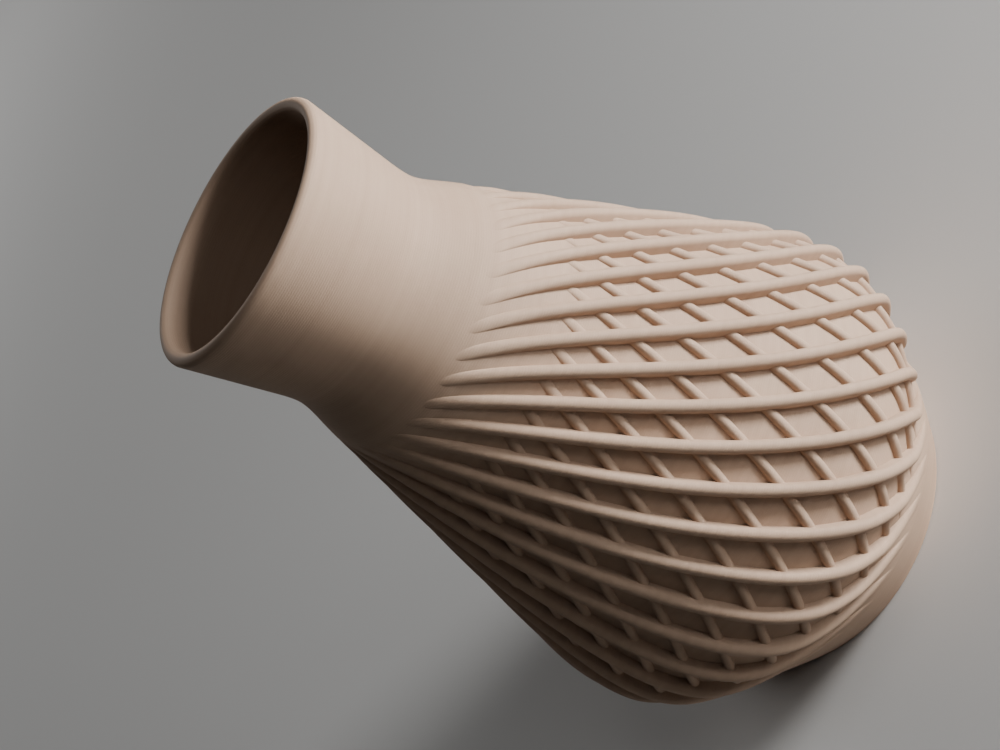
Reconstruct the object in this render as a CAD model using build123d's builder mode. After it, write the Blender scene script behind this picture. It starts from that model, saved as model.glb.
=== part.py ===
"""A bulbous vase with a lattice of helical ribs, printed in one piece.

The vase stands upright on its flat foot, +Z towards the mouth, with its origin at the centre of
the foot. Its skin is a smooth body of revolution: foot, rounded belly, straight shoulder, tight
neck and flared mouth with a fully rounded lip. Between the foot and the neck the wall is sunk
below that skin, and tall helical fins stand on it up to the skin. Lower cross ribs wind the
other way between the fins. Each printed feature is its own solid, and the ribs are rooted a
little into the wall that carries them. All lengths are millimetres and all angles degrees.
"""

from build123d import *
from math import atan, cos, pi, radians, sin
import os

# Overall sizes of the skin
total_height = 200.0
foot_radius = 46.4
belly_radius = 70.5
belly_height = 43.5
neck_radius = 31.15
mouth_flare = 4.15
flare_length = 33.5

# How the skin bends from one stretch to the next
foot_slope = 0.7
underside_height = 18.0
underside_inset = 13.0
underside_slope = 0.62
belly_bend = 22.5
belly_drop = 5.3
neck_bend = 14.5
neck_drop = 4.25
flare_bend = 9.0
flare_bend_share = 0.75
flare_slope = 0.14

# Wall, floor and foot edge
wall = 3.6
floor_thickness = 4.0
foot_round = 1.2

# Lattice
rib_count = 32
groove_depth = 3.9
groove_foot_gap = 13.5
groove_foot_run = 16.0
groove_neck_gap = 2.0
groove_neck_run = 45.0
fin_width = 3.4
fin_end_proud = 0.25
cross_width = 2.8
cross_setback = 2.2
cross_end_proud = 0.15
root_depth = 0.6
crown_fullness = 0.98
crown_share = 0.7
fin_phase = 6.0
cross_phase = 4.0
cross_groups = 4

# Sweep of the fins about the axis: share of the lattice height, degrees swept, degrees per mm
sweep_stations = (
    (0.09, 0.0, 2.00),
    (0.19, 20.2, 0.62),
    (0.31, 30.5, 0.53),
    (0.57, 49.3, 0.465),
    (0.78, 65.0, 0.57),
    (0.89, 76.1, 0.80),
    (1.00, 93.7, 1.40),
)

# How finely the curves are drawn: sections along a rib, points along a wall, and slope readings
section_count = 23
floor_step = 1.0
belly_step = 4.0
neck_step = 4.0
slope_step = 0.01
height_tolerance = 0.0001

# Sizes that follow from those above
lip_radius = wall / 2
mouth_radius = neck_radius + mouth_flare
underside_radius = belly_radius - underside_inset
neck_height = total_height - flare_length
shoulder_top = neck_height - neck_bend
shoulder_foot = belly_height + belly_bend
shoulder_top_radius = neck_radius + neck_drop
shoulder_foot_radius = belly_radius - belly_drop
shoulder_slope = (shoulder_top_radius - shoulder_foot_radius) / (shoulder_top - shoulder_foot)
lip_height = total_height - lip_radius
flare_bend_gain = flare_slope * flare_bend * flare_bend_share
groove_top = shoulder_top - groove_neck_gap
groove_foot_end = groove_foot_gap + groove_foot_run
groove_neck_end = groove_top - groove_neck_run
rib_pitch = 360 / rib_count

# The skin's outline: height, radius, and radius gained per height
skin_stations = (
    (0.0, foot_radius, foot_slope),
    (underside_height, underside_radius, underside_slope),
    (belly_height, belly_radius, 0.0),
    (shoulder_foot, shoulder_foot_radius, shoulder_slope),
    (shoulder_top, shoulder_top_radius, shoulder_slope),
    (neck_height, neck_radius, 0.0),
    (neck_height + flare_bend, neck_radius + flare_bend_gain, flare_slope),
    (lip_height, mouth_radius, flare_slope),
)


def between(stations, place):
    """Value of the smooth curve that runs through the stations (place, value, slope)."""
    last = len(stations) - 2
    index = next((i for i in range(last) if place < stations[i + 1][0]), last)
    start, value_a, slope_a = stations[index]
    end, value_b, slope_b = stations[index + 1]
    run = end - start
    t = (place - start) / run
    rise = (value_b - value_a) * t * t * (3 - 2 * t)
    return value_a + rise + run * t * (1 - t) * (slope_a * (1 - t) - slope_b * t)


def skin(height):
    """Outer radius of the smooth skin."""
    return between(skin_stations, height)


def ease_out(share):
    """Growth from 0 to 1 that starts at once and ends gently."""
    share = min(max(share, 0.0), 1.0)
    return 1.5 * share - 0.5 * share**3


def ease_in_out(share):
    """Growth from 0 to 1 that starts and ends gently."""
    share = min(max(share, 0.0), 1.0)
    return share * share * (3 - 2 * share)


def groove(height):
    """Depth of the wall below the skin."""
    above_foot = ease_in_out((height - groove_foot_gap) / groove_foot_run)
    below_neck = ease_out((groove_top - height) / groove_neck_run)
    return groove_depth * above_foot * below_neck


def wall_outside(height):
    """Outer radius of the wall between the ribs."""
    return skin(height) - groove(height)


def wall_inside(height):
    """Inner radius of the wall."""
    return wall_outside(height) - wall


def sweep(height):
    """Degrees that a fin has swept about the axis, counted from the foot."""
    share = height / groove_top
    stations = [(place, turn, rate * groove_top) for place, turn, rate in sweep_stations]
    return between(stations, share)


def slope_of(curve, height):
    """How fast a curve grows with height."""
    return (curve(height + slope_step) - curve(height - slope_step)) / (2 * slope_step)


def heights(low, high, step):
    """Evenly spaced heights from low to high, about step apart."""
    count = max(2, round((high - low) / step))
    return [low + (high - low) * i / count for i in range(count + 1)]


def height_where(depth, low, high):
    """Height between low and high where the groove has this depth."""
    sign = 1 if groove(high) > groove(low) else -1
    while high - low > height_tolerance:
        middle = (low + high) / 2
        if sign * (groove(middle) - depth) > 0:
            high = middle
        else:
            low = middle
    return (low + high) / 2


def shell_section(low, high, step):
    """Section of the wall between two heights, in the plane of the axis."""
    levels = heights(low, high, step)
    with BuildSketch(Plane.XZ) as section:
        with BuildLine():
            outer = Spline([(wall_outside(level), level) for level in levels])
            inner = Spline([(wall_inside(level), level) for level in levels])
            Line(outer @ 0, inner @ 0)
            Line(outer @ 1, inner @ 1)
        make_face()
    return section.sketch


def rib_plane(height, hand, setback):
    """Plane across a rib at this height, with its origin on the crest and y out of the wall."""
    radius = skin(height) - setback
    slope = slope_of(skin, height)
    turn = radians(hand * sweep(height))
    turning = radians(hand * slope_of(sweep, height))
    outward = Vector(cos(turn), sin(turn), 0)
    around = Vector(-sin(turn), cos(turn), 0)
    along = (outward * slope + around * (radius * turning) + Vector(0, 0, 1)).normalized()
    normal = (outward - Vector(0, 0, slope)).normalized()
    origin = outward * radius + Vector(0, 0, height)
    return Plane(origin=origin, x_dir=normal.cross(along), z_dir=along)


def rib_section(height, hand, width, setback):
    """Section of a rib from its root in the wall to its rounded crest."""
    root = (groove(height) - setback + root_depth) * cos(atan(slope_of(skin, height)))
    half = width / 2
    crown = min(crown_fullness * half, crown_share * root)
    with BuildSketch(rib_plane(height, hand, setback)) as section:
        with BuildLine():
            ThreePointArc((-half, -crown), (0, 0), (half, -crown))
            Polyline((half, -crown), (half, -root), (-half, -root), (-half, -crown))
        make_face()
    return section.sketch


def rib_sections(low, high, hand, width, setback):
    """Sections of one rib, closest at its ends; hand is -1 for a fin and 1 for a cross rib."""
    shares = [(1 - cos(pi * index / (section_count - 1))) / 2 for index in range(section_count)]
    return [rib_section(low + (high - low) * share, hand, width, setback) for share in shares]


# Floor: the foot and the solid bottom of the vase
with BuildPart() as floor:
    with BuildSketch(Plane.XZ):
        with BuildLine():
            side = Spline([(wall_outside(level), level) for level in heights(0, floor_thickness, floor_step)])
            Polyline(side @ 0, (0, 0), (0, floor_thickness), side @ 1)
        make_face()
    revolve(axis=Axis.Z)
    foot_edge = floor.edges().filter_by(GeomType.CIRCLE).group_by(Axis.Z)[0]
    fillet(foot_edge, foot_round)
floor.part.label = "floor"

# Belly wall: the sunk wall that carries the lattice
with BuildPart() as belly_wall:
    revolve(shell_section(floor_thickness, groove_top, belly_step), axis=Axis.Z)
belly_wall.part.label = "belly_wall"

# Neck: the smooth neck and the flare above it
with BuildPart() as neck:
    revolve(shell_section(groove_top, lip_height, neck_step), axis=Axis.Z)
neck.part.label = "neck"

# Lip: the full round that closes the top of the wall
with BuildPart() as lip:
    with BuildSketch(Plane.XZ):
        with BuildLine():
            middle = wall_outside(lip_height) - lip_radius
            CenterArc((middle, lip_height), lip_radius, 0, 180)
            Line((middle - lip_radius, lip_height), (middle + lip_radius, lip_height))
        make_face()
    revolve(axis=Axis.Z)
lip.part.label = "lip"

# One fin and one cross rib, from which the others are turned copies
fin_low = height_where(fin_end_proud, groove_foot_gap, groove_foot_end)
fin_high = height_where(fin_end_proud, groove_neck_end, groove_top)
with BuildPart() as first_fin:
    loft(rib_sections(fin_low, fin_high, -1, fin_width, 0.0))

cross_start = cross_setback + cross_end_proud
cross_low = height_where(cross_start, groove_foot_gap, groove_foot_end)
cross_high = height_where(cross_start, groove_neck_end, groove_top)
with BuildPart() as first_cross:
    loft(rib_sections(cross_low, cross_high, 1, cross_width, cross_setback))

# Fins: tall, left-handed, one node each
fins = []
for index in range(rib_count):
    with BuildPart() as fin:
        with Locations(Rotation(0, 0, fin_phase + index * rib_pitch)):
            add(first_fin.part)
    fin.part.label = f"fin_{index + 1:02d}"
    fins.append(fin.part)

# Cross ribs: low, right-handed, in equal groups of neighbours
cross_ribs = []
per_group = rib_count // cross_groups
for group in range(cross_groups):
    with BuildPart() as cross:
        for index in range(group * per_group, (group + 1) * per_group):
            with Locations(Rotation(0, 0, cross_phase + index * rib_pitch)):
                add(first_cross.part)
    cross.part.label = f"cross_ribs_{group + 1}"
    cross_ribs.append(cross.part)

os.makedirs("parts", exist_ok=True)
for piece in (floor.part, belly_wall.part, neck.part, lip.part, *fins, *cross_ribs):
    export_step(piece, f"parts/{piece.label}.step")
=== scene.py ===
"""Looks of a printed vase with a lattice of helical ribs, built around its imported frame.

The vase is one matte plastic print: a hollow body of revolution, tall left-handed fins and low
right-handed cross ribs. Each is modelled here in metres, in the frame's own axes, and rides on
the frame's single body.
"""

from collections.abc import Callable
from dataclasses import dataclass
from enum import Enum
import logging
from math import atan, cos, pi, radians, sin

import bpy
from mathutils import Matrix, Vector

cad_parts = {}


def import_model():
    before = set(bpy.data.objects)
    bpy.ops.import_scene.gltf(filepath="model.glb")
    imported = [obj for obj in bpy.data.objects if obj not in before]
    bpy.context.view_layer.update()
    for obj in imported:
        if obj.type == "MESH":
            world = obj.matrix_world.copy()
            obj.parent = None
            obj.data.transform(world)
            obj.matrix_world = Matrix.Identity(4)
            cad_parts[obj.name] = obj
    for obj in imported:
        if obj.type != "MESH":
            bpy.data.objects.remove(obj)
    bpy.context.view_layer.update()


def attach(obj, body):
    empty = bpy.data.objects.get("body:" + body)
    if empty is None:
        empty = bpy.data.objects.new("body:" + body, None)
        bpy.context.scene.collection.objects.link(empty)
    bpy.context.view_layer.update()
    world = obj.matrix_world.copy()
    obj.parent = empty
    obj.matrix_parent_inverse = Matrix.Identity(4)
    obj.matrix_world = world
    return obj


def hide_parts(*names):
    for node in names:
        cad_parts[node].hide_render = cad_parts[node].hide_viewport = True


log = logging.getLogger("vase")

MM = 0.001
BODY = "vase"

# Points closer than this, in metres, are welded; bends up to the angle, in degrees, shade smooth.
WELD_GAP = 0.002 * MM
SMOOTH_ANGLE = 40.0

# Half the height, in millimetres, over which the slope of a curve is read.
SLOPE_STEP = 0.01

# A face counts as looking one way when its normal is within this angle, in radians.
FACING_SPREAD = 0.1

Station = tuple[float, float, float]
Curve = Callable[[float], float]
Links = dict[str | int, bpy.types.NodeSocket]


class Hand(Enum):
    """Way that a rib winds about the axis as it climbs from the foot."""

    LEFT = -1
    RIGHT = 1


def between(stations: tuple[Station, ...], place: float) -> float:
    """Read the smooth curve that runs through a list of stations.

    Args:
        stations: place, value and slope of each point that the curve passes.
        place: where the curve is read.

    Returns:
        The curve's value there.
    """
    last = len(stations) - 2
    index = next((i for i in range(last) if place < stations[i + 1][0]), last)
    start, value_a, slope_a = stations[index]
    end, value_b, slope_b = stations[index + 1]
    run = end - start
    t = (place - start) / run
    rise = (value_b - value_a) * t * t * (3 - 2 * t)
    return value_a + rise + run * t * (1 - t) * (slope_a * (1 - t) - slope_b * t)


def ease_out(share: float) -> float:
    """Grow from 0 to 1, starting at once and ending gently."""
    share = min(max(share, 0.0), 1.0)
    return 1.5 * share - 0.5 * share**3


def ease_in_out(share: float) -> float:
    """Grow from 0 to 1, starting and ending gently."""
    share = min(max(share, 0.0), 1.0)
    return share * share * (3 - 2 * share)


def slope_of(curve: Curve, height: float) -> float:
    """Read how fast a curve grows with height.

    Args:
        curve: the curve, as a function of height.
        height: where its slope is read.

    Returns:
        The curve's growth per millimetre.
    """
    return (curve(height + SLOPE_STEP) - curve(height - SLOPE_STEP)) / (2 * SLOPE_STEP)


@dataclass(frozen=True)
class Form:
    """Shape that the wall and the ribs share, in millimetres and degrees.

    The skin is the smooth outside that the fins reach, and the wall between the ribs lies
    below it by the depth of the groove. Heights are counted from the foot.
    """

    total_height: float = 200.0
    foot_radius: float = 46.4
    belly_radius: float = 70.5
    belly_height: float = 43.5
    neck_radius: float = 31.15
    mouth_flare: float = 4.15
    flare_length: float = 33.5
    foot_slope: float = 0.7
    underside_height: float = 18.0
    underside_inset: float = 13.0
    underside_slope: float = 0.62
    belly_bend: float = 22.5
    belly_drop: float = 5.3
    neck_bend: float = 14.5
    neck_drop: float = 4.25
    flare_bend: float = 9.0
    flare_slope: float = 0.14
    flare_share: float = 0.75
    wall: float = 3.6
    floor_thickness: float = 4.0
    foot_round: float = 1.2
    groove_depth: float = 3.9
    groove_foot_gap: float = 13.5
    groove_foot_run: float = 16.0
    groove_neck_gap: float = 2.0
    groove_neck_run: float = 45.0
    root_depth: float = 0.6
    # Share of the lattice's height, degrees swept, and degrees swept per millimetre.
    sweep_stations: tuple[Station, ...] = (
        (0.09, 0.0, 2.00),
        (0.19, 20.2, 0.62),
        (0.31, 30.5, 0.53),
        (0.57, 49.3, 0.465),
        (0.78, 65.0, 0.57),
        (0.89, 76.1, 0.80),
        (1.00, 93.7, 1.40),
    )

    @property
    def neck_height(self) -> float:
        """Height of the narrowest ring."""
        return self.total_height - self.flare_length

    @property
    def groove_top(self) -> float:
        """Height where the grooves have run out below the neck."""
        return self.neck_height - self.neck_bend - self.groove_neck_gap

    @property
    def lip_height(self) -> float:
        """Height of the centre of the lip's round."""
        return self.total_height - self.wall / 2

    @property
    def skin_stations(self) -> tuple[Station, ...]:
        """Height, radius and slope of each ring that the skin passes through."""
        underside_radius = self.belly_radius - self.underside_inset
        shoulder_foot = self.belly_height + self.belly_bend
        shoulder_top = self.neck_height - self.neck_bend
        low_radius = self.belly_radius - self.belly_drop
        top_radius = self.neck_radius + self.neck_drop
        slope = (top_radius - low_radius) / (shoulder_top - shoulder_foot)
        flare_gain = self.flare_slope * self.flare_bend * self.flare_share
        return (
            (0.0, self.foot_radius, self.foot_slope),
            (self.underside_height, underside_radius, self.underside_slope),
            (self.belly_height, self.belly_radius, 0.0),
            (shoulder_foot, low_radius, slope),
            (shoulder_top, top_radius, slope),
            (self.neck_height, self.neck_radius, 0.0),
            (self.neck_height + self.flare_bend, self.neck_radius + flare_gain, self.flare_slope),
            (self.lip_height, self.neck_radius + self.mouth_flare, self.flare_slope),
        )

    def skin(self, height: float) -> float:
        """Radius of the smooth skin at a height."""
        return between(self.skin_stations, height)

    def groove(self, height: float) -> float:
        """Depth of the wall below the skin at a height."""
        above_foot = ease_in_out((height - self.groove_foot_gap) / self.groove_foot_run)
        below_neck = ease_out((self.groove_top - height) / self.groove_neck_run)
        return self.groove_depth * above_foot * below_neck

    def outside(self, height: float) -> float:
        """Radius of the wall's outside between the ribs."""
        return self.skin(height) - self.groove(height)

    def inside(self, height: float) -> float:
        """Radius of the wall's inside."""
        return self.outside(height) - self.wall

    def sweep(self, height: float) -> float:
        """Degrees that a fin has swept about the axis since the foot."""
        top = self.groove_top
        stations = tuple((place, turn, rate * top) for place, turn, rate in self.sweep_stations)
        return between(stations, height / top)

    def height_where(self, depth: float, low: float, high: float) -> float:
        """Find the height between two others where the groove has a depth.

        Args:
            depth: the groove's depth to find.
            low: the height below it.
            high: the height above it.

        Returns:
            The height where the groove is that deep.
        """
        sign = 1 if self.groove(high) > self.groove(low) else -1
        while high - low > MM:
            middle = (low + high) / 2
            if sign * (self.groove(middle) - depth) > 0:
                high = middle
            else:
                low = middle
        return (low + high) / 2


def deselect_all() -> None:
    """Leave nothing selected, so that an operator acts only on what is added next."""
    bpy.ops.object.select_all(action="DESELECT")


def start_point(name: str) -> bpy.types.Object:
    """Add a plane, merge it to one point at the origin, and stay in edit mode.

    Args:
        name: the new piece's name.

    Returns:
        The piece, with its only vertex selected.
    """
    deselect_all()
    bpy.ops.mesh.primitive_plane_add(size=MM)
    piece = bpy.context.object
    piece.name = name
    bpy.ops.object.mode_set(mode="EDIT")
    bpy.ops.mesh.select_all(action="SELECT")
    bpy.ops.mesh.merge(type="CENTER")
    return piece


def select_faces(piece: bpy.types.Object, direction: Vector) -> None:
    """Select the faces of a piece in edit mode that look one way.

    Args:
        piece: the object whose faces are chosen.
        direction: the unit vector that they look along.
    """
    bpy.ops.mesh.select_mode(type="FACE")
    bpy.ops.mesh.select_all(action="DESELECT")
    bpy.ops.object.mode_set(mode="OBJECT")
    for face in piece.data.polygons:
        face.select = face.normal.angle(direction) < FACING_SPREAD
    bpy.ops.object.mode_set(mode="EDIT")


def finish_mesh() -> None:
    """Weld the active piece's doubles, turn its faces outwards, apply its place and shade it."""
    bpy.ops.object.mode_set(mode="EDIT")
    bpy.ops.mesh.select_all(action="SELECT")
    bpy.ops.mesh.remove_doubles(threshold=WELD_GAP)
    bpy.ops.mesh.normals_make_consistent(inside=False)
    bpy.ops.object.mode_set(mode="OBJECT")
    bpy.ops.object.transform_apply(location=True, rotation=True, scale=True)
    bpy.ops.object.shade_smooth_by_angle(angle=radians(SMOOTH_ANGLE))


def settle(piece: bpy.types.Object, material: bpy.types.Material, nodes: list[str]) -> None:
    """Give a finished piece its material, its body and the nodes that it stands for.

    Args:
        piece: the finished piece.
        material: its finish.
        nodes: the frame's nodes that it replaces.
    """
    piece.data.materials.clear()
    piece.data.materials.append(material)
    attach(piece, BODY)
    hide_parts(*nodes)
    log.info("%s: %d faces, for %s", piece.name, len(piece.data.polygons), ", ".join(nodes))


def linear_colour(hex_value: str) -> tuple[float, float, float, float]:
    """Turn an sRGB colour into the one that a shader takes.

    Args:
        hex_value: the colour, as # and six hex digits.

    Returns:
        The linear colour, opaque.
    """
    channels = [int(hex_value[i : i + 2], 16) / 255 for i in (1, 3, 5)]
    linear = [c / 12.92 if c <= 0.04045 else ((c + 0.055) / 1.055) ** 2.4 for c in channels]
    return (linear[0], linear[1], linear[2], 1.0)


def add_node(tree: bpy.types.NodeTree, kind: str, links: Links, **settings) -> bpy.types.Node:
    """Add a shader node with its links and settings.

    Args:
        tree: the material's node tree.
        kind: the node's type, without its ShaderNode prefix.
        links: the output that feeds each input, by the input's name or number.
        settings: the node's attributes, and values of its inputs by name, or as in_1 by number.

    Returns:
        The new node.
    """
    node = tree.nodes.new("ShaderNode" + kind)
    for name, value in settings.items():
        if name.startswith("in_"):
            node.inputs[int(name[3:])].default_value = value
        elif hasattr(node, name):
            setattr(node, name, value)
        else:
            node.inputs[name.replace("_", " ")].default_value = value
    for name, source in links.items():
        tree.links.new(source, node.inputs[name])
    return node


@dataclass(frozen=True)
class PrintedPla:
    """Matte PLA, laid down by a nozzle in thin level layers.

    The eye sees a dry surface that scatters evenly with hardly any gloss, fine level lines
    where the layers meet, and a tone that wanders a little from layer to layer. Lengths are
    millimetres.
    """

    name: str = "matte_pla_printed"
    light_tone: str = "#B59A84"
    dark_tone: str = "#AA8F7A"
    roughness: float = 0.68
    specular: float = 0.3
    index: float = 1.46
    # Real layers are 0.2 mm, too fine to show, so they are drawn 0.6 mm apart.
    layer: float = 0.6
    layer_bump: float = 0.02
    layer_waver: float = 0.15
    band: float = 2.2
    band_detail: float = 4.0
    cloud: float = 25.0
    cloud_detail: float = 5.0
    grain: float = 0.35
    grain_detail: float = 3.0
    grain_bump: float = 0.03
    # Sum of the two tone patterns at which the paint is all dark, and all light.
    dark_sum: float = 0.7
    light_sum: float = 1.3

    def build(self) -> bpy.types.Material:
        """Make the material.

        Returns:
            The material, whose patterns read the object's own coordinates.
        """
        material = bpy.data.materials.new(self.name)
        material.use_nodes = True
        tree = material.node_tree
        tree.nodes.clear()
        place = add_node(tree, "TexCoord", {}).outputs["Object"]
        height = add_node(tree, "SeparateXYZ", {"Vector": place}).outputs["Z"]
        waver = add_node(tree, "TexNoise", {"Vector": place}, Scale=1 / (self.cloud * MM))
        shift = add_node(
            tree,
            "Math",
            {0: waver.outputs["Fac"], 2: height},
            operation="MULTIPLY_ADD",
            in_1=self.layer_waver * MM,
        )
        phase = add_node(
            tree, "Math", {0: shift.outputs[0]}, operation="MULTIPLY", in_1=pi / (self.layer * MM)
        )
        wave = add_node(tree, "Math", {0: phase.outputs[0]}, operation="SINE")
        bead = add_node(tree, "Math", {0: wave.outputs[0]}, operation="ABSOLUTE")
        lines = add_node(
            tree, "Bump", {"Height": bead.outputs[0]}, Strength=1.0, Distance=self.layer_bump * MM
        )
        specks = add_node(
            tree,
            "TexNoise",
            {"Vector": place},
            Scale=1 / (self.grain * MM),
            Detail=self.grain_detail,
        )
        grain = add_node(
            tree,
            "Bump",
            {"Height": specks.outputs["Fac"], "Normal": lines.outputs["Normal"]},
            Strength=1.0,
            Distance=self.grain_bump * MM,
        )
        level = add_node(tree, "CombineXYZ", {"Z": shift.outputs[0]})
        bands = add_node(
            tree,
            "TexNoise",
            {"Vector": level.outputs[0]},
            Scale=1 / (self.band * MM),
            Detail=self.band_detail,
        )
        clouds = add_node(
            tree,
            "TexNoise",
            {"Vector": place},
            Scale=1 / (self.cloud * MM),
            Detail=self.cloud_detail,
        )
        tone = add_node(
            tree, "Math", {0: bands.outputs["Fac"], 1: clouds.outputs["Fac"]}, operation="ADD"
        )
        share = add_node(
            tree,
            "MapRange",
            {"Value": tone.outputs[0]},
            From_Min=self.dark_sum,
            From_Max=self.light_sum,
        )
        paint = add_node(
            tree,
            "Mix",
            {0: share.outputs[0]},
            data_type="RGBA",
            in_6=linear_colour(self.dark_tone),
            in_7=linear_colour(self.light_tone),
        )
        shader = add_node(
            tree,
            "BsdfPrincipled",
            {"Base Color": paint.outputs[2], "Normal": grain.outputs["Normal"]},
            Roughness=self.roughness,
            IOR=self.index,
            Specular_IOR_Level=self.specular,
        )
        add_node(tree, "OutputMaterial", {"Surface": shader.outputs[0]})
        return material


@dataclass(frozen=True)
class PaperSweep:
    """Plain pale paper under the vase, without gloss."""

    name: str = "paper_sweep"
    tone: str = "#D9D8D6"
    roughness: float = 0.9

    def build(self) -> bpy.types.Material:
        """Make the material.

        Returns:
            The material, in one even tone.
        """
        material = bpy.data.materials.new(self.name)
        material.use_nodes = True
        tree = material.node_tree
        tree.nodes.clear()
        shader = add_node(
            tree,
            "BsdfPrincipled",
            {},
            Base_Color=linear_colour(self.tone),
            Roughness=self.roughness,
        )
        add_node(tree, "OutputMaterial", {"Surface": shader.outputs[0]})
        return material


@dataclass
class Vessel:
    """Hollow body of the vase: foot, floor, sunk belly wall, neck, flare and rounded lip.

    Its section is drawn in levels about a step apart, in millimetres, and spun in equal turns.
    """

    form: Form
    turns: int = 256
    level_step: float = 1.6
    round_steps: int = 12

    def outline(self) -> list[Vector]:
        """List the section's points, from under the foot's centre to the floor's centre.

        Returns:
            The points, in metres, in the plane of the axis.
        """
        form = self.form
        half = form.wall / 2
        foot = form.foot_round
        side = form.outside(foot)
        points = [(0.0, 0.0), (side / 2, 0.0)]
        for step in range(self.round_steps // 2):
            turn = pi * step / self.round_steps
            points.append((side - foot * (1 - sin(turn)), foot * (1 - cos(turn))))
        levels = round((form.lip_height - foot) / self.level_step)
        for step in range(levels):
            level = foot + (form.lip_height - foot) * step / levels
            points.append((form.outside(level), level))
        middle = form.outside(form.lip_height) - half
        for step in range(self.round_steps):
            turn = pi * step / self.round_steps
            points.append((middle + half * cos(turn), form.lip_height + half * sin(turn)))
        low = form.floor_thickness
        levels = round((form.lip_height - low) / self.level_step)
        for step in range(levels + 1):
            level = form.lip_height + (low - form.lip_height) * step / levels
            points.append((form.inside(level), level))
        points += [(form.inside(low) / 2, low), (0.0, low)]
        return [Vector((radius * MM, 0, level * MM)) for radius, level in points]

    def build(self) -> bpy.types.Object:
        """Draw the section point by point and spin it about the axis.

        Returns:
            The vessel, closed and smooth.
        """
        piece = start_point("vessel")
        points = self.outline()
        for here, there in zip(points, points[1:]):
            bpy.ops.mesh.extrude_region_move(TRANSFORM_OT_translate={"value": there - here})
        bpy.ops.mesh.select_all(action="SELECT")
        bpy.ops.mesh.spin(steps=self.turns, angle=2 * pi, center=(0, 0, 0), axis=(0, 0, 1))
        finish_mesh()
        return piece


@dataclass
class Rib:
    """One helical rib, modelled straight and then wound onto the wall.

    Lengths are millimetres. Its crest lies below the skin by the setback, its ends are sunk in
    the wall, and the phase is its azimuth, in degrees, where the sweep is zero. Its crest is
    about half round, and takes no more than a share of the rib's depth.
    """

    form: Form
    name: str
    hand: Hand
    width: float
    setback: float
    sink: float
    phase: float
    crown_faces: int = 12
    level_step: float = 1.3
    squareness: float = 0.98
    crown_share: float = 0.7

    def ends(self) -> tuple[float, float]:
        """Find where the rib sinks into the wall at the foot and at the neck.

        Returns:
            The heights of its lower and its upper end.
        """
        form = self.form
        depth = self.setback - self.sink
        foot_end = form.groove_foot_gap + form.groove_foot_run
        neck_end = form.groove_top - form.groove_neck_run
        low = form.height_where(depth, form.groove_foot_gap, foot_end)
        high = form.height_where(depth, neck_end, form.groove_top)
        return low, high

    def straight(self, low: float, high: float) -> bpy.types.Object:
        """Model the rib as a straight bar with a round crest, cut into short lengths.

        The bar stands along Z with its crest towards +Y, and its leg is one width deep.

        Args:
            low: the height of its lower end.
            high: the height of its upper end.

        Returns:
            The bar, in object mode.
        """
        deselect_all()
        bpy.ops.mesh.primitive_cylinder_add(
            vertices=2 * self.crown_faces,
            radius=self.width / 2 * MM,
            depth=(high - low) * MM,
            location=(0, 0, (low + high) / 2 * MM),
        )
        bar = bpy.context.object
        bar.name = self.name
        bpy.ops.object.transform_apply(location=True, rotation=True, scale=True)
        bpy.ops.object.mode_set(mode="EDIT")
        bpy.ops.mesh.select_all(action="SELECT")
        bpy.ops.mesh.bisect(
            plane_co=(0, 0, 0), plane_no=(0, -1, 0), clear_outer=True, use_fill=True
        )
        select_faces(bar, Vector((0, -1, 0)))
        drop = (0, -self.width * MM, 0)
        bpy.ops.mesh.extrude_region_move(TRANSFORM_OT_translate={"value": drop})
        bpy.ops.mesh.select_all(action="DESELECT")
        bpy.ops.mesh.select_mode(type="EDGE")
        bpy.ops.object.mode_set(mode="OBJECT")
        points = bar.data.vertices
        for edge in bar.data.edges:
            rise = points[edge.vertices[1]].co - points[edge.vertices[0]].co
            edge.select = abs(rise.z) > self.width * MM
        bpy.ops.object.mode_set(mode="EDIT")
        cuts = round((high - low) / self.level_step) - 1
        bpy.ops.mesh.subdivide(number_cuts=cuts)
        bpy.ops.object.mode_set(mode="OBJECT")
        return bar

    def wound(self, across: float, out: float, height: float) -> Vector:
        """Find where a point of the straight bar lies on the wound rib.

        Args:
            across: its place across the bar, in millimetres.
            out: its place towards the crest, from minus the width to half the width.
            height: its height.

        Returns:
            Its place on the vase, in metres.
        """
        form = self.form
        radius = form.skin(height) - self.setback
        slope = slope_of(form.skin, height)
        turn = radians(self.hand.value * form.sweep(height) + self.phase)
        turning = radians(self.hand.value * slope_of(form.sweep, height))
        outward = Vector((cos(turn), sin(turn), 0))
        around = Vector((-sin(turn), cos(turn), 0))
        along = outward * slope + around * radius * turning + Vector((0, 0, 1))
        normal = (outward - Vector((0, 0, slope))).normalized()
        side = normal.cross(along.normalized())
        root = (form.groove(height) - self.setback + form.root_depth) * cos(atan(slope))
        crown = min(self.squareness * self.width / 2, self.crown_share * root)
        if out > 0:
            depth = crown * (1 - out / (self.width / 2))
        else:
            depth = crown - (root - crown) * out / self.width
        return (outward * radius + Vector((0, 0, height)) + side * across - normal * depth) * MM

    def build(self) -> bpy.types.Object:
        """Model the rib straight, wind it onto the wall and finish it.

        Returns:
            The first rib, from which the others are copied.
        """
        low, high = self.ends()
        bar = self.straight(low, high)
        for point in bar.data.vertices:
            across, out, height = point.co / MM
            point.co = self.wound(across, out, height)
        finish_mesh()
        return bar


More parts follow.
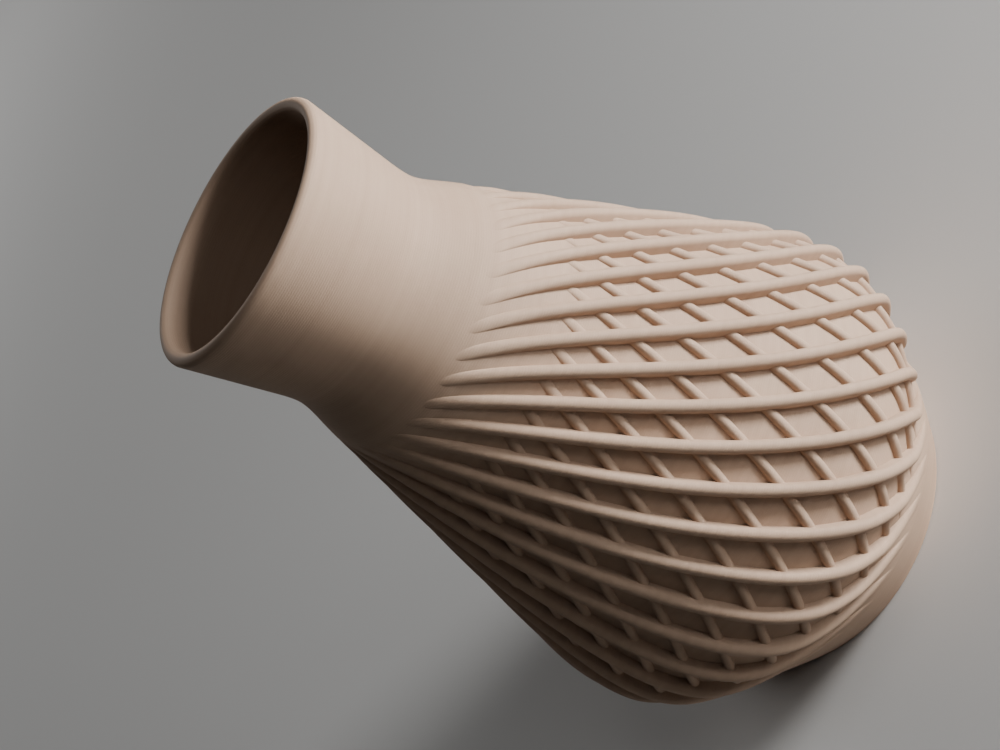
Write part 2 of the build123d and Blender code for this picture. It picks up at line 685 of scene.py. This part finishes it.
@dataclass
class Lattice:
    """All the ribs of the vase: one piece per fin, and cross ribs in groups of neighbours.

    The fins' crests lie a hair below the skin, so that their ends vanish in the wall.
    """

    form: Form
    count: int = 32
    groups: int = 4
    fin_width: float = 3.4
    fin_sink: float = 0.04
    fin_phase: float = 6.0
    cross_width: float = 2.8
    cross_setback: float = 2.2
    cross_sink: float = 0.3
    cross_phase: float = 4.0

    def copies(self, first: bpy.types.Object) -> list[bpy.types.Object]:
        """Copy a rib all round the axis, each copy with its own mesh.

        Args:
            first: the rib to copy, which becomes the first of them.

        Returns:
            All the ribs, in order round the axis.
        """
        ribs = [first]
        for index in range(1, self.count):
            rib = first.copy()
            rib.data = first.data.copy()
            rib.data.transform(Matrix.Rotation(index * 2 * pi / self.count, 4, "Z"))
            bpy.context.collection.objects.link(rib)
            ribs.append(rib)
        return ribs

    def build_fins(self, material: bpy.types.Material) -> None:
        """Build the tall left-handed fins.

        Args:
            material: their finish.
        """
        rib = Rib(
            form=self.form,
            name="tall_fin_01",
            hand=Hand.LEFT,
            width=self.fin_width,
            setback=self.fin_sink,
            sink=self.fin_sink,
            phase=self.fin_phase,
        )
        for index, fin in enumerate(self.copies(rib.build()), start=1):
            fin.name = f"tall_fin_{index:02d}"
            settle(fin, material, [f"fin_{index:02d}"])

    def build_cross_ribs(self, material: bpy.types.Material) -> None:
        """Build the low right-handed cross ribs and join each group of neighbours.

        Args:
            material: their finish.
        """
        rib = Rib(
            form=self.form,
            name="low_ribs_1",
            hand=Hand.RIGHT,
            width=self.cross_width,
            setback=self.cross_setback,
            sink=self.cross_sink,
            phase=self.cross_phase,
        )
        ribs = self.copies(rib.build())
        per_group = self.count // self.groups
        for group in range(self.groups):
            members = ribs[group * per_group : (group + 1) * per_group]
            deselect_all()
            for member in members:
                member.select_set(True)
            bpy.context.view_layer.objects.active = members[0]
            bpy.ops.object.join()
            joined = bpy.context.object
            joined.name = f"low_ribs_{group + 1}"
            settle(joined, material, [f"cross_ribs_{group + 1}"])


@dataclass(frozen=True)
class Lamp:
    """Soft square light that shines on the vase's middle.

    Attributes:
        name: the light's name.
        direction: where it hangs, seen from the vase.
        reach: how far off it hangs, in metres.
        size: the length of its side, in metres.
        power: its power, in watts.
    """

    name: str
    direction: tuple[float, float, float]
    reach: float
    size: float
    power: float

    def hang(self, centre: Vector) -> None:
        """Hang the light.

        Args:
            centre: the point that it shines on, in metres.
        """
        data = bpy.data.lights.new(self.name, "AREA")
        data.size = self.size
        data.energy = self.power
        light = bpy.data.objects.new(self.name, data)
        bpy.context.collection.objects.link(light)
        direction = Vector(self.direction)
        light.location = centre + direction.normalized() * self.reach
        light.rotation_mode = "QUATERNION"
        light.rotation_quaternion = direction.to_track_quat("Z", "Y")


LAMPS = (
    Lamp("key_light", (1.07, -0.84, 0.07), reach=1.0, size=0.3, power=22.5),
    Lamp("side_light", (0.5, -0.87, 0.07), reach=1.0, size=0.3, power=2.4),
    Lamp("mouth_light", (0.3, -0.6, 1.0), reach=1.0, size=0.4, power=0.9),
    Lamp("back_light", (0.1, 1.0, 0.5), reach=2.2, size=1.2, power=11.0),
)


@dataclass
class Studio:
    """Floor, light and camera around the vase.

    The camera's target and distance are millimetres and its angles degrees.
    """

    form: Form
    floor_size: float = 16.0
    lens: float = 57.1
    target: tuple[float, float, float] = (-3.48, 0.83, 116.67)
    distance: float = 417.97
    azimuth: float = -13.33
    elevation: float = 29.29
    # Seen from the camera, the vase's axis leans this far from upright, to the left.
    roll: float = 64.16
    room_tone: str = "#C9CDD2"
    room_strength: float = 0.015

    def lay_floor(self) -> None:
        """Lay a pale paper floor under the foot."""
        deselect_all()
        bpy.ops.mesh.primitive_plane_add(size=self.floor_size)
        floor = bpy.context.object
        floor.name = "studio_floor"
        floor.data.materials.append(PaperSweep().build())

    def view_from(self) -> Vector:
        """Find the unit vector from the target to the camera.

        Returns:
            The direction, in the frame's axes.
        """
        azimuth, elevation = radians(self.azimuth), radians(self.elevation)
        level = Vector((sin(azimuth), -cos(azimuth), 0)) * cos(elevation)
        return level + Vector((0, 0, sin(elevation)))

    def place_camera(self) -> None:
        """Place the camera and make it the scene's."""
        data = bpy.data.cameras.new("camera")
        data.lens = self.lens
        camera = bpy.data.objects.new("camera", data)
        bpy.context.collection.objects.link(camera)
        turn = self.view_from().to_track_quat("Z", "Y") @ Matrix.Rotation(
            radians(-self.roll), 3, "Z"
        ).to_quaternion()
        camera.rotation_mode = "QUATERNION"
        camera.rotation_quaternion = turn
        camera.location = (Vector(self.target) + self.view_from() * self.distance) * MM
        bpy.context.scene.camera = camera

    def light(self) -> None:
        """Hang the lamps and set the room's faint even light."""
        centre = Vector((0, 0, self.form.total_height / 2 * MM))
        for lamp in LAMPS:
            lamp.hang(centre)
        world = bpy.data.worlds.new("room")
        world.use_nodes = True
        background = world.node_tree.nodes["Background"]
        background.inputs["Color"].default_value = linear_colour(self.room_tone)
        background.inputs["Strength"].default_value = self.room_strength
        bpy.context.scene.world = world


def main() -> None:
    """Build the vase piece by piece, then its floor, light and camera."""
    logging.basicConfig(level=logging.INFO, format="%(message)s")
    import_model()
    form = Form()
    plastic = PrintedPla().build()
    settle(Vessel(form).build(), plastic, ["floor", "belly_wall", "neck", "lip"])
    lattice = Lattice(form)
    lattice.build_fins(plastic)
    lattice.build_cross_ribs(plastic)
    studio = Studio(form)
    studio.lay_floor()
    studio.light()
    studio.place_camera()


if __name__ == "__main__":
    main()
